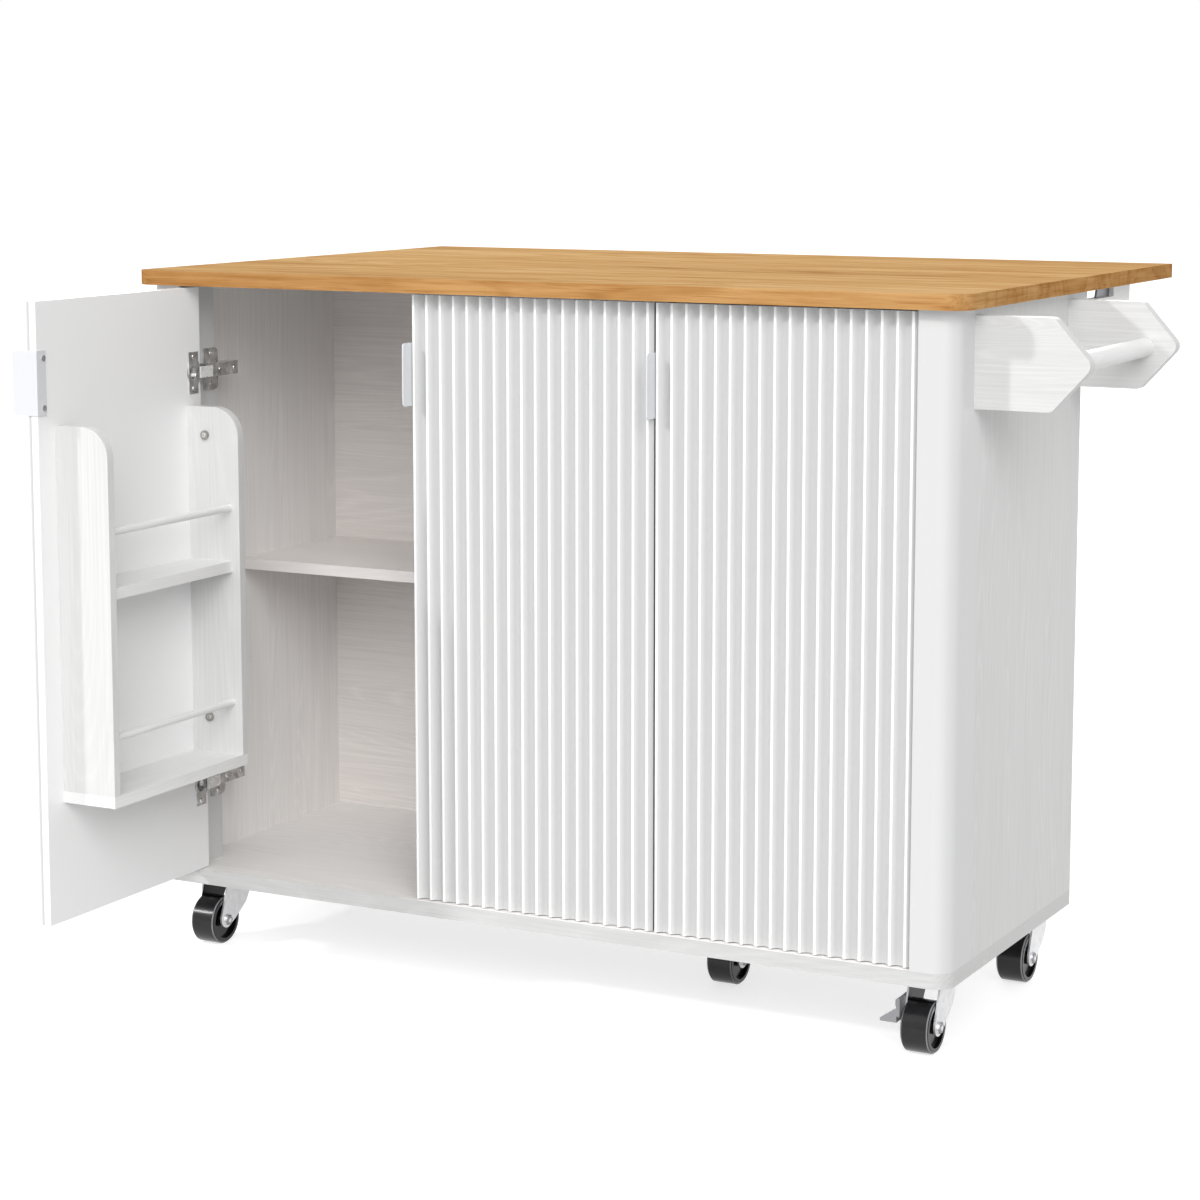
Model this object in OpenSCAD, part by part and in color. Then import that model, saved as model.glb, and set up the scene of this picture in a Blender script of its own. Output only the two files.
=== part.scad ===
/* Kitchen island cabinet on casters, with a drop leaf, a towel rack,
   three fluted doors and a spice rack on the left door.
   Millimetres, +Z up, +X to the right of the doors, front towards -Y.
   Inside the modules X is 0 at the body centre, Y is 0 at the front of the
   base board and Z is 0 at the floor; placed() moves all of it so that the
   origin is the bottom centre of the bounding box at rest. */

/* [Cabinet body] */
// Body width across the corner posts
body_w = 1136.2; // [980:0.1:1300]
// Body depth, front of the base to the rear edge of the side panels
body_d = 444.5; // [400:0.5:500]
// Underside of the base board above the floor
base_z = 95; // [92:0.5:110]
// Base board thickness
base_t = 19.5; // [16:0.5:25]
// Height of the worktop surface
top_z = 920; // [860:1:960]
// Corner post width
post_w = 48.8; // [40:0.1:60]
// Corner post depth
post_d = 75.5; // [70:0.5:90]
// Corner rounding of the posts and the base board
post_r = 24; // [8:1:34]
// Side, back, partition and shelf board thickness
board_t = 15; // [12:0.5:16]
// Front edge of the bay shelf behind the body front
shelf_y = 180; // [120:1:240]
// Top of the bay shelf above the floor
shelf_z = 512; // [400:1:600]
// Rear rail thickness
rail_t = 18; // [15:1:22]
// Rear rail height
rail_h = 61; // [56:1:90]

/* [Worktop and leaf] */
// Worktop thickness
top_t = 19; // [16:0.5:28]
// Worktop overhang at the sides and the front
top_over = 15.3; // [10:0.1:30]
// Rounding of the front worktop corners
top_r = 28; // [10:1:40]
// Worktop behind the rear rail, up to the leaf seam
top_rear = 40; // [36:1:60]
// Leaf depth
leaf_d = 278.3; // [220:0.1:330]
// Depth of the leaf arms
arm_len = 193.5; // [150:0.5:200]
// Height of the leaf arms
arm_h = 37; // [34:1:40]
// Arm thickness
arm_t = 16; // [12:1:18]

/* [Doors] */
// Door thickness
door_t = 16; // [15:0.5:19]
// Flutes between the outermost ridges of a door
flute_n = 17; // [14:1:18]
// Depth of a flute
flute_d = 6; // [3:0.5:6]
// Flat ridge between two flutes
ridge_w = 3; // [2:0.5:5]
// Handle plate height
handle_h = 80; // [60:1:110]
// Handle projection before the door
handle_out = 20; // [12:1:28]
// Rest opening of the left door
door_rest = 90; // [0:5:90]

/* [Spice rack] */
// Rack depth from the door
rack_d = 79; // [60:1:90]
// Gap between the lower door hinge and the rack
rack_low_gap = 9.5; // [6:0.5:30]
// Gap between the rack and the upper door hinge
rack_top_gap = 15.1; // [6:0.1:40]
// Level of the upper rack shelf as a share of the rack height
rack_share = 0.545; // [0.4:0.005:0.65]
// Height of the retaining rods above their shelf
rod_rise = 70; // [40:1:90]
// Rounding of the upper corners of the rack sides
rack_r = 38; // [15:1:50]

/* [Towel rack] */
// Reach of the towel brackets from the side
towel_out = 140; // [110:1:170]
// Towel bracket height
towel_h = 109.5; // [90:0.5:120]
// Front face of the front bracket behind the body front
towel_y1 = 55.5; // [10:0.5:70]
// Front face of the rear bracket behind the body front
towel_y2 = 390; // [300:0.5:400]
// Towel bar diameter
towel_bar_d = 24; // [16:1:30]

/* [Casters] */
// Wheel diameter
wheel_d = 65; // [58:0.5:66]
// Wheel width
wheel_w = 36; // [24:0.5:36]
// Distance between the swivel axis and the axle
trail = 26; // [20:0.5:28]
// Swivel axis from the body side
caster_x = 50.2; // [40:0.1:60]
// Swivel axis of the front casters behind the body front
caster_front = 78.7; // [62:0.1:100]
// Swivel axis of the rear casters before the body rear
caster_rear = 31; // [27:0.5:60]

/* [View] */
// Which sub-part to draw, "all" for the whole model

/* [Hidden] */
$fn = 96;
eps = 0.01;

// Body levels and planes
half_w = body_w / 2;
floor_z = base_z + base_t;
under_top = top_z - top_t;
post_in = half_w - post_w;
panel_in = half_w - board_t;
rail_y = body_d + rail_t;
seam_y = rail_y + top_rear;
seam_gap = 1;
leaf_y = seam_y + seam_gap;
leaf_end = leaf_y + leaf_d;
back_inset = 6.5;
back_y = body_d - back_inset - board_t;

// Doors: two outer ones hang on the posts, the middle one on the partition
door_side_gap = 1.1;
door_mid_gap = 3.2;
door_pair_gap = 10.2;
door_set = 4;
door_foot_gap = 1.5;
door_head_gap = 3;
door_edge = post_in - door_side_gap;
door_w = (2 * door_edge - door_mid_gap - door_pair_gap) / 3;
door_z = floor_z + door_foot_gap;
door_top = under_top - door_head_gap;
part_x = door_edge - door_w - door_mid_gap / 2;
part_front = 23;
pivot_x = 7;
pivot_y = 6.7;
pivot_plane = door_set + pivot_y;
inner = door_t - pivot_y;
free_x = door_w - pivot_x;
// Pivot axes of the left, middle and right door
door_px = [-door_edge + pivot_x, door_edge - door_w - door_mid_gap - pivot_x, door_edge - pivot_x];
door_open = [door_rest, 0, 0];
// Face that carries each door's hinge plates, seen from its pivot
door_face = [-pivot_x - door_side_gap, door_px[1] - (part_x - board_t / 2), -pivot_x - door_side_gap];

// Flutes
flute_free = 3.3;
flute_hinge = 6.6;
flute_pitch = (door_w - flute_free - flute_hinge) / flute_n;
flute_chord = flute_pitch - ridge_w;
flute_r = (flute_chord * flute_chord / 4 + flute_d * flute_d) / (2 * flute_d);

// Concealed hinges, two to a door
hinge_low = 231;
hinge_down = 112;
hinge_z = [hinge_low, door_top - hinge_down];
cup_d = 26;
cup_gap = 0.05;
cup_depth = 8;
cup_wall = 1.5;
cup_x = 16 - pivot_x;
cup_mouth = 9;
flange_t = 1.2;
flange_h = 55;
flange_x0 = 5.5 - pivot_x;
flange_w = 20.5;
flange_nose = -5.5;
flange_nose_h = 18;
flange_root_h = 30;
link_qx = 8.2;
link_qy = 28;
link_off = 4.5;
link_t = 2.5;
link_len = 28;
link_w = 15;
link_eye = 3.6;
link_open = 4;
link_ratio = 0.66;
link_pin = 2;
link_play = 0.05;
link_side = 0.3;
arm_half = 9;
arm_back = 96;
hplate_y = 38;
hplate_len = 32;
hplate_h = 56;
hplate_t = 2;
hplate_r = 8;
cheek_r = 4.5;
cheek_len = 10;

// Handles
handle_t = 1.5;
handle_flange = 16;
handle_down = 100.5;
handle_z = door_top - handle_down;
handle_r = 4;
screw_in = 10.7;
screw_dz = 61.5;
screw_r = 3.6;
screw_h = 1.4;

// Rack on the left door, seen from the door's pivot
rack_t = 12;
rack_far = 10.6;
rack_free = 32.6;
rack_near = free_x - rack_free;
rack_shelf_t = 14.5;
rack_z = hinge_z[0] + flange_h / 2 + rack_low_gap;
rack_top = hinge_z[1] - flange_h / 2 - rack_top_gap;
rack_side_z = rack_z + rack_shelf_t;
rack_up_z = rack_z + rack_share * (rack_top - rack_z);
rack_up_in = 11.8;
rod_d = 9.5;
rod_in = 15.1;
rod_y = rack_d - rod_in;
rod_z = [rack_side_z + rod_rise, rack_up_z + rack_shelf_t + rod_rise];
rod_let = 5;
fit = 0.05;
bolt_r = 6;
bolt_t = 3;
bolt_y = 27.5;
bolt_low = 47;
bolt_high = 37.1;
bolt_z = [rack_side_z + bolt_low, rack_top - bolt_high];

// Leaf hinges
lh_in = 118;
lh_x = [-half_w + lh_in, 0, half_w - lh_in];
lh_len = 60;
lh_knuckles = 5;
lh_r = 3;
lh_pin = 1.2;
lh_t = 1.2;
lh_leaf = 26;
lh_gap = 0.3;
lh_y = seam_y + seam_gap / 2;
lh_z = under_top - lh_r;
lh_start = lh_r + 0.6;

// Leaf arms
arm_out = 6;
arm_stand = 22;
arm_y = rail_y + arm_stand;
arm_top = under_top - 2;
arm_relief = 0.5;
arm_nose = arm_h / 2 - arm_relief;
arm_pz = arm_top - arm_h / 2 - arm_relief;
arm_notch_d = 14;
arm_notch_z = arm_top - arm_notch_d;
arm_notch = 0.55 * arm_len;
arm_notch_y = arm_y + arm_notch;
arm_pin_r = 3;
arm_x = half_w - arm_out - arm_t;
plate_t = 3;
plate_y0 = arm_y + arm_notch / 2;
plate_slant = 6;
bracket_t = 2;
bracket_play = 0.4;
bracket_drop = 12;
bracket_rise = 3.5;
bracket_nose = 8;

// Towel rack
tw_t = 18;
tw_down = 9;
tw_top = under_top - tw_down;
tw_corner_in = 44;
tw_lower_in = 46;
tw_corner = towel_out - tw_corner_in;
tw_lower = towel_out - tw_lower_in;
tw_corner_r = 10;
tw_tip_r = 12;
tw_apex = 4;
tw_points = [
  [half_w, tw_top - towel_h],
  [half_w + tw_lower, tw_top - towel_h],
  [half_w + towel_out + tw_apex, tw_top - towel_h / 2],
  [half_w + tw_corner, tw_top],
  [half_w, tw_top]
];
tw_bar_in = 40;
tw_bar_down = 57;
tw_bar_x = half_w + towel_out - tw_bar_in;
tw_bar_z = tw_top - tw_bar_down;
tw_let = 9;

// Casters
plate_w = 48;
plate_th = 3;
race_r = 20;
race_down = 10;
race_z = base_z - race_down;
crown_gap = 0.3;
crown_t = 4.4;
king_r = 4;
king_play = 0.06;
king_head = 7;
king_head_t = 4;
leg_gap = 0.6;
leg_t = 2.5;
leg_step = 1.2;
leg_fold_y = -8;
leg_fold_w = 8;
crown_d = 39;
leg_front = -23;
leg_rear = 28;
axle_r = 4;
axle_play = 0.06;
axle_cap_r = 6.5;
axle_cap_t = 2;
axle_z = wheel_d / 2;
leg_end_r = 13;
leg_end_y = -trail - 2;
leg_end_z = axle_z + 3;
leg_reach = trail + leg_end_r + 10;
leg_end_front = 160;
leg_end_rear = -60;
leg_in = wheel_w / 2 + leg_gap;
leg_out = leg_in + leg_t;
crown_top = race_z - crown_gap;
crown_z = crown_top - crown_t;
middle_x = 12.4;
middle_y = 15.6;
// Swivel axes: front left, front right, rear left, rear right, middle
king_x = half_w - caster_x;
king_rear = body_d - caster_rear;
kings = [
  [-king_x, caster_front], [king_x, caster_front],
  [-king_x, king_rear], [king_x, king_rear],
  [part_x + middle_x, (caster_front + king_rear) / 2 - middle_y]
];

// Wheel section
hub_r = 9;
hub_in = 1;
dish_d = 5;
tread_h = 8;
tread_slope = 1;
tread_r = 2.5;

// Brake pedal on the front right caster
brake_y = -21;
brake_z = 62;
brake_pin = 2.5;
brake_t = 4;
brake_hub = 7;
brake_play = 0.08;
brake_gap = 0.3;
brake_y0 = -50;
brake_w = 18;
brake_reach = 25.5;
brake_top = 68.5;
brake_side = 50;
brake_foot = 38.5;

// Bounding box at rest
box_x0 = -half_w - top_over;
box_x1 = fillet_at(tw_points[1], tw_points[2], tw_points[3], tw_tip_r)[0] + tw_tip_r;
box_y0 = min(pivot_plane - (free_x + handle_t) * sin(door_rest)
  - (pivot_y + handle_out) * cos(door_rest), door_set - handle_out);
box_y1 = leaf_end;
org_x = (box_x0 + box_x1) / 2;
org_y = (box_y0 + box_y1) / 2;

// Colours
c_white = [0.93, 0.93, 0.92];
c_oak = [0.78, 0.62, 0.42];
c_steel = [0.72, 0.73, 0.75];
c_chrome = [0.82, 0.83, 0.85];
c_dark = [0.28, 0.28, 0.3];
c_black = [0.09, 0.09, 0.1];
c_grey = [0.55, 0.56, 0.58];

// Helpers
function unit(v) = v / norm(v);
function corner_t(a, b, c) = tan(acos(unit(a - b) * unit(c - b)) / 2);
function corner_s(a, b, c) = sin(acos(unit(a - b) * unit(c - b)) / 2);

// Centre of the arc of radius r in the corner at b
function fillet_at(a, b, c, r) = b + unit(unit(a - b) + unit(c - b)) * r / corner_s(a, b, c);

// Polygon with a radius at each corner, 0 for a sharp one
module round_poly(p, r) {
  n = len(p);
  polygon([for (i = [0 : n - 1]) let (
    a = p[(i + n - 1) % n],
    b = p[i],
    c = p[(i + 1) % n],
    t = r[i] / corner_t(a, b, c)
  ) for (q = r[i] > 0 ? [b + unit(a - b) * t, b + unit(c - b) * t] : [b]) q]);
  for (i = [0 : n - 1]) {
    if (r[i] > 0) {
      translate(fillet_at(p[(i + n - 1) % n], p[i], p[(i + 1) % n], r[i]))
        circle(r = r[i]);
    }
  }
}

module placed() {
  translate([-org_x, -org_y, 0])
    children();
}

// Box between two corners
module box(a, b) {
  translate(a)
    cube(b - a);
}

// Profile in the Y-Z plane, from x0 to x1
module slab_x(x0, x1) {
  translate([x0, 0, 0])
    rotate([90, 0, 90])
      linear_extrude(x1 - x0)
        children();
}

// Profile in the X-Z plane, from y0 to y1
module slab_y(y0, y1) {
  translate([0, y1, 0])
    rotate([90, 0, 0])
      linear_extrude(y1 - y0)
        children();
}

// Round bar along X
module rod_x(x0, x1, y, z, r) {
  translate([x0, y, z])
    rotate([0, 90, 0])
      cylinder(r = r, h = x1 - x0);
}

// Round bar along Y
module rod_y_bar(y0, y1, x, z, r) {
  translate([x, y1, z])
    rotate([90, 0, 0])
      cylinder(r = r, h = y1 - y0);
}

// Puts a door's own frame (pivot at 0, door along +X, inside +Y) in place
module on_door(i, open) {
  placed()
    translate([door_px[i], pivot_plane, 0])
      if (i == 0) {
        rotate([0, 0, -open])
          children();
      } else {
        rotate([0, 0, open])
          mirror([1, 0, 0])
            children();
      }
}

// Cabinet body
module base_board() {
  color(c_white)
    placed()
      translate([0, 0, base_z])
        linear_extrude(base_t)
          round_poly(
            [[-half_w, 0], [half_w, 0], [half_w, body_d], [-half_w, body_d]],
            [post_r, post_r, 0, 0]);
}

module side_panel(s) {
  x0 = s > 0 ? panel_in : -half_w;
  color(c_white)
    placed()
      box([x0, post_d, floor_z], [x0 + board_t, body_d, under_top]);
}

module side_panel_left() {
  side_panel(-1);
}

module side_panel_right() {
  side_panel(1);
}

// Corner post as it stands on the right
module corner_post() {
  translate([0, 0, floor_z])
    linear_extrude(under_top - floor_z)
      round_poly(
        [[post_in, 0], [half_w, 0], [half_w, post_d], [post_in, post_d]],
        [0, post_r, 0, 0]);
}

module corner_post_left() {
  color(c_white)
    placed()
      mirror([1, 0, 0])
        corner_post();
}

module corner_post_right() {
  color(c_white)
    placed()
      corner_post();
}

module partition() {
  color(c_white)
    placed()
      box([part_x - board_t / 2, part_front, floor_z],
        [part_x + board_t / 2, back_y, under_top]);
}

module back_panel() {
  color(c_white)
    placed()
      box([-panel_in, back_y, floor_z], [panel_in, back_y + board_t, under_top]);
}

module bay_shelf() {
  color(c_white)
    placed()
      box([-panel_in, shelf_y, shelf_z - board_t], [part_x - board_t / 2, back_y, shelf_z]);
}

module rear_rail() {
  color(c_white)
    placed()
      box([-half_w, body_d, under_top - rail_h], [half_w, rail_y, under_top]);
}

// Worktop and leaf
module worktop() {
  x = half_w + top_over;
  color(c_oak)
    placed()
      translate([0, 0, under_top])
        linear_extrude(top_t)
          round_poly(
            [[-x, -top_over], [x, -top_over], [x, seam_y], [-x, seam_y]],
            [top_r, top_r, 0, 0]);
}

module drop_leaf() {
  x = half_w + top_over;
  color(c_oak)
    placed()
      box([-x, leaf_y, under_top], [x, leaf_end, top_z]);
}

// Barrels k of one leaf hinge, along X
module lh_barrels(first, r, extra) {
  pitch = lh_len / lh_knuckles;
  for (k = [first : 2 : lh_knuckles - 1]) {
    rod_x(k * pitch + lh_gap / 2 - extra, (k + 1) * pitch - lh_gap / 2 + extra, 0, 0, r);
  }
}

// Tongues that join the flap of side s to its barrels
module lh_flap(first, s) {
  pitch = lh_len / lh_knuckles;
  y0 = s > 0 ? lh_start : -lh_leaf;
  y1 = s > 0 ? lh_leaf : -lh_start;
  box([0, y0, lh_r - lh_t], [lh_len, y1, lh_r]);
  for (k = [first : 2 : lh_knuckles - 1]) {
    box([k * pitch + lh_gap / 2, s > 0 ? 0 : -lh_start - eps, lh_r - lh_t],
      [(k + 1) * pitch - lh_gap / 2, s > 0 ? lh_start + eps : 0, lh_r]);
  }
}

module leaf_hinges_fixed() {
  color(c_steel)
    placed()
      for (x = lh_x) {
        translate([x - lh_len / 2, lh_y, lh_z]) {
          lh_flap(0, -1);
          lh_barrels(0, lh_r, 0);
          rod_x(lh_gap / 2, lh_len - lh_gap / 2, 0, 0, lh_pin);
        }
      }
}

module leaf_hinges_moving() {
  color(c_steel)
    placed()
      for (x = lh_x) {
        translate([x - lh_len / 2, lh_y, lh_z])
          difference() {
            union() {
              lh_flap(1, 1);
              lh_barrels(1, lh_r, 0);
            }
            rod_x(-1, lh_len + 1, 0, 0, lh_pin + fit);
          }
      }
}

// Side view of an arm: full height outside, notched over its pivot end
module arm_profile() {
  y1 = arm_y + arm_len - arm_nose;
  difference() {
    union() {
      translate([arm_y, arm_pz])
        circle(r = arm_nose);
      round_poly(
        [[arm_y, arm_top - arm_h], [y1, arm_top - arm_h], [y1, arm_top],
          [arm_notch_y, arm_top], [arm_notch_y, arm_notch_z], [arm_y, arm_notch_z]],
        [0, 6, 2, 2, 0, 0]);
    }
    translate([arm_y - arm_h, arm_notch_z])
      square([arm_notch_y - arm_y + arm_h, arm_h]);
    translate([arm_y, arm_pz])
      circle(r = arm_pin_r + fit);
  }
}

module leaf_arm(s) {
  x0 = s > 0 ? arm_x : -arm_x - arm_t;
  color(c_white)
    placed()
      slab_x(x0, x0 + arm_t)
        arm_profile();
}

module leaf_arm_left() {
  leaf_arm(-1);
}

module leaf_arm_right() {
  leaf_arm(1);
}

// Steel support plate standing in the notch of an arm
module arm_plate(s) {
  x = s * (arm_x + arm_t / 2);
  color(c_dark)
    placed()
      slab_x(x - plate_t / 2, x + plate_t / 2)
        polygon([[plate_y0, arm_notch_z], [arm_notch_y, arm_notch_z],
          [arm_notch_y, arm_top - 1], [plate_y0 + plate_slant, arm_top - 1]]);
}

module arm_plate_left() {
  arm_plate(-1);
}

module arm_plate_right() {
  arm_plate(1);
}

// Steel clevis on the rail for each arm, with the pin of the arm
module arm_brackets() {
  z0 = arm_pz - bracket_drop;
  z1 = arm_pz + bracket_rise;
  nose_y = arm_y + bracket_nose;
  color(c_steel)
    placed()
      for (s = [-1, 1]) {
        xc = s * (arm_x + arm_t / 2);
        w = arm_t / 2 + bracket_play;
        box([xc - w - bracket_t, rail_y, z0], [xc + w + bracket_t, rail_y + bracket_t, z1]);
        for (x = [xc - w - bracket_t, xc + w]) {
          slab_x(x, x + bracket_t)
            round_poly([[rail_y, z0], [nose_y, arm_pz - bracket_nose], [nose_y, z1], [rail_y, z1]],
              [0, 4, 3, 0]);
        }
        rod_x(xc - w - bracket_t, xc + w + bracket_t, arm_y, arm_pz, arm_pin_r);
      }
}

// Towel rack
module towel_bracket(y0, let_y) {
  color(c_white)
    placed()
      difference() {
        slab_y(y0, y0 + tw_t)
          round_poly(tw_points, [0, tw_corner_r, tw_tip_r, tw_corner_r, 0]);
        rod_y_bar(let_y, let_y + tw_let + eps, tw_bar_x, tw_bar_z, towel_bar_d / 2 + fit);
      }
}

module towel_bracket_front() {
  towel_bracket(towel_y1, towel_y1 + tw_t - tw_let);
}

module towel_bracket_rear() {
  towel_bracket(towel_y2, towel_y2 - eps);
}

module towel_bar() {
  color(c_white)
    placed()
      rod_y_bar(towel_y1 + tw_t - tw_let, towel_y2 + tw_let, tw_bar_x, tw_bar_z, towel_bar_d / 2);
}

// Doors
module door_panel() {
  difference() {
    box([-pivot_x, -pivot_y, door_z], [free_x, inner, door_top]);
    for (k = [0 : flute_n + 1]) {
      translate([free_x - flute_free - (k - 0.5) * flute_pitch,
          -pivot_y - flute_r + flute_d, door_z - 1])
        cylinder(r = flute_r, h = door_top - door_z + 2);
    }
    for (z = hinge_z) {
      rod_y_bar(inner - cup_depth, inner + 1, cup_x, z, cup_d / 2);
    }
  }
}

module door_left() {
  color(c_white)
    on_door(0, door_open[0])
      door_panel();
}

module door_middle() {
  color(c_white)
    on_door(1, door_open[1])
      door_panel();
}

module door_right() {
  color(c_white)
    on_door(2, door_open[2])
      door_panel();
}

// Bent plate over the free edge, with a tab before the door
module handle_plate() {
  z0 = handle_z - handle_h / 2;
  z1 = handle_z + handle_h / 2;
  y0 = -pivot_y - handle_out;
  y1 = inner + handle_t;
  slab_x(free_x, free_x + handle_t)
    round_poly([[y0, z0], [y1, z0], [y1, z1], [y0, z1]], [handle_r, 0, 0, handle_r]);
  box([free_x - handle_flange, inner, z0], [free_x + handle_t, y1, z1]);
}

module handle_left() {
  color(c_chrome)
    on_door(0, door_open[0])
      handle_plate();
}

module handle_middle() {
  color(c_chrome)
    on_door(1, door_open[1])
      handle_plate();
}

module handle_right() {
  color(c_chrome)
    on_door(2, door_open[2])
      handle_plate();
}

// Two screws through the handle flange
module handle_screws() {
  for (s = [-1, 1]) {
    rod_y_bar(inner + handle_t, inner + handle_t + screw_h,
      free_x - screw_in, handle_z + s * screw_dz / 2, screw_r);
  }
}

module door_screws_left() {
  color(c_chrome)
    on_door(0, door_open[0])
      handle_screws();
}

module door_screws_middle() {
  color(c_chrome)
    on_door(1, door_open[1])
      handle_screws();
}

module door_screws_right() {
  color(c_chrome)
    on_door(2, door_open[2])
      handle_screws();
}

// Hinge cup let into the door, with its screw flange on the inner face
module hinge_cup(z) {
  r = cup_d / 2 - cup_gap;
  difference() {
    union() {
      box([flange_x0, inner, z - flange_h / 2],
        [flange_x0 + flange_w, inner + flange_t, z + flange_h / 2]);
      slab_y(inner, inner + flange_t)
        polygon([[flange_x0 + eps, z - flange_root_h / 2], [flange_x0 + eps, z + flange_root_h / 2],
          [flange_nose, z + flange_nose_h / 2], [flange_nose, z - flange_nose_h / 2]]);
      rod_y_bar(inner - cup_depth + cup_gap, inner, cup_x, z, r);
    }
    rod_y_bar(inner - cup_depth + cup_wall, inner - flange_t, cup_x, z, r - cup_wall);
    rod_y_bar(inner - flange_t - eps, inner + flange_t + 1, cup_x, z, cup_mouth);
  }
}

module hinge_cups() {
  for (z = hinge_z) {
    hinge_cup(z);
  }
}

module hinge_cups_left() {
  color(c_chrome)
    on_door(0, door_open[0])
      hinge_cups();
}

module hinge_cups_middle() {
  color(c_chrome)
    on_door(1, door_open[1])
      hinge_cups();
}

module hinge_cups_right() {
  color(c_chrome)
    on_door(2, door_open[2])
      hinge_cups();
}

// Cranked links between the carcass pin and the cup, at a door opening
module hinge_link(open) {
  swing = link_open + link_ratio * (90 - open);
  for (z = hinge_z) {
    translate([link_qx, link_qy, z - link_w / 2])
      rotate([0, 0, swing - 90])
        linear_extrude(link_w)
          difference() {
            union() {
              circle(r = link_eye);
              translate([-2, 0])
                square([6, link_off + link_t / 2]);
              translate([-2, link_off - link_t / 2])
                square([link_len + 2, link_t]);
            }
            circle(r = link_pin + link_play);
          }
  }
}

module hinge_links_left() {
  color(c_chrome)
    on_door(0, 0)
      hinge_link(door_open[0]);
}

module hinge_links_middle() {
  color(c_chrome)
    on_door(1, 0)
      hinge_link(door_open[1]);
}

module hinge_links_right() {
  color(c_chrome)
    on_door(2, 0)
      hinge_link(door_open[2]);
}

// Mounting plate, arm body with two cheeks, and the pin of the link
module hinge_plate(face) {
  y1 = hplate_y + hplate_len;
  body_y = link_qy + cheek_len;
  slot = link_w / 2 + link_side;
  for (z = hinge_z) {
    slab_x(face, face + hplate_t)
      round_poly([[hplate_y, z - hplate_h / 2], [y1, z - hplate_h / 2],
        [y1, z + hplate_h / 2], [hplate_y, z + hplate_h / 2]], [2, hplate_r, hplate_r, 2]);
    box([face, body_y, z - arm_half], [link_qx, arm_back, z + arm_half]);
    for (s = [0, 1]) {
      z0 = s > 0 ? z + slot : z - arm_half;
      box([face, link_qy - cheek_r, z0], [link_qx + cheek_r, body_y + eps, z0 + arm_half - slot]);
    }
    translate([link_qx, link_qy, z - arm_half])
      cylinder(r = link_pin, h = 2 * arm_half);
  }
}

module hinge_plates() {
  color(c_chrome)
    for (i = [0 : 2]) {
      on_door(i, 0)
        hinge_plate(door_face[i]);
    }
}

// Spice rack on the left door, its sides standing on the lower shelf
module rack_side(x0) {
  y0 = inner;
  y1 = inner + rack_d;
  color(c_white)
    on_door(0, door_open[0])
      difference() {
        slab_x(x0, x0 + rack_t)
          round_poly([[y0, rack_side_z], [y1, rack_side_z], [y1, rack_top], [y0, rack_top]],
            [0, 0, rack_r, 0]);
        for (z = rod_z) {
          rod_x(rack_far + rack_t - rod_let, rack_near + rod_let - rack_t,
            inner + rod_y, z, rod_d / 2 + fit);
        }
      }
}

module rack_side_near() {
  rack_side(rack_near - rack_t);
}

module rack_side_far() {
  rack_side(rack_far);
}

module rack_shelf_upper() {
  color(c_white)
    on_door(0, door_open[0])
      box([rack_far + rack_t, inner, rack_up_z],
        [rack_near - rack_t, inner + rack_d - rack_up_in, rack_up_z + rack_shelf_t]);
}

module rack_shelf_lower() {
  color(c_white)
    on_door(0, door_open[0])
      box([rack_far, inner, rack_z], [rack_near, inner + rack_d, rack_side_z]);
}

module rack_rods() {
  color(c_white)
    on_door(0, door_open[0])
      for (z = rod_z) {
        rod_x(rack_far + rack_t - rod_let, rack_near + rod_let - rack_t,
          inner + rod_y, z, rod_d / 2);
      }
}

module rack_bolts() {
  color(c_chrome)
    on_door(0, door_open[0])
      for (z = bolt_z) {
        rod_x(rack_far + rack_t, rack_far + rack_t + bolt_t, inner + bolt_y, z, bolt_r);
        rod_x(rack_near - rack_t - bolt_t, rack_near - rack_t, inner + bolt_y, z, bolt_r);
      }
}

// Casters
module at_king(i) {
  placed()
    translate([kings[i][0], kings[i][1], 0])
      children();
}

// Screw plates with the race and the king pin of every caster
module caster_plates() {
  color(c_steel)
    for (i = [0 : len(kings) - 1]) {
      at_king(i) {
        box([-plate_w / 2, -plate_w / 2, base_z - plate_th], [plate_w / 2, plate_w / 2, base_z]);
        translate([0, 0, race_z])
          cylinder(r = race_r, h = base_z - race_z - plate_th / 2);
        translate([0, 0, crown_z - crown_gap])
          cylinder(r = king_r, h = base_z - crown_z);
        translate([0, 0, crown_z - crown_gap - king_head_t])
          cylinder(r = king_head, h = king_head_t);
      }
    }
}

// Side view of a fork leg, wide under the crown and round at the axle
module leg_profile() {
  function rim(a) = [leg_end_y + leg_end_r * cos(a), leg_end_z + leg_end_r * sin(a)];
  polygon([[leg_front, crown_top], [leg_rear, crown_top], [leg_rear, crown_top * 0.72],
    [leg_rear * 0.7, crown_top * 0.57], [leg_rear * 0.15, crown_top * 0.44],
    rim(leg_end_rear), [leg_end_y, leg_end_z], rim(leg_end_front)]);
  translate([leg_end_y, leg_end_z])
    circle(r = leg_end_r);
}

// Fork leg on the right, its rear part set back behind a fold
module fork_leg() {
  intersection() {
    slab_x(leg_in, leg_out)
      leg_profile();
    linear_extrude(crown_top)
      polygon([[leg_in - 1, -leg_reach], [leg_out, -leg_reach], [leg_out, leg_fold_y],
        [leg_out - leg_step, leg_fold_y + leg_fold_w], [leg_out - leg_step, leg_reach],
        [leg_in - 1, leg_reach]]);
  }
}

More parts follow.
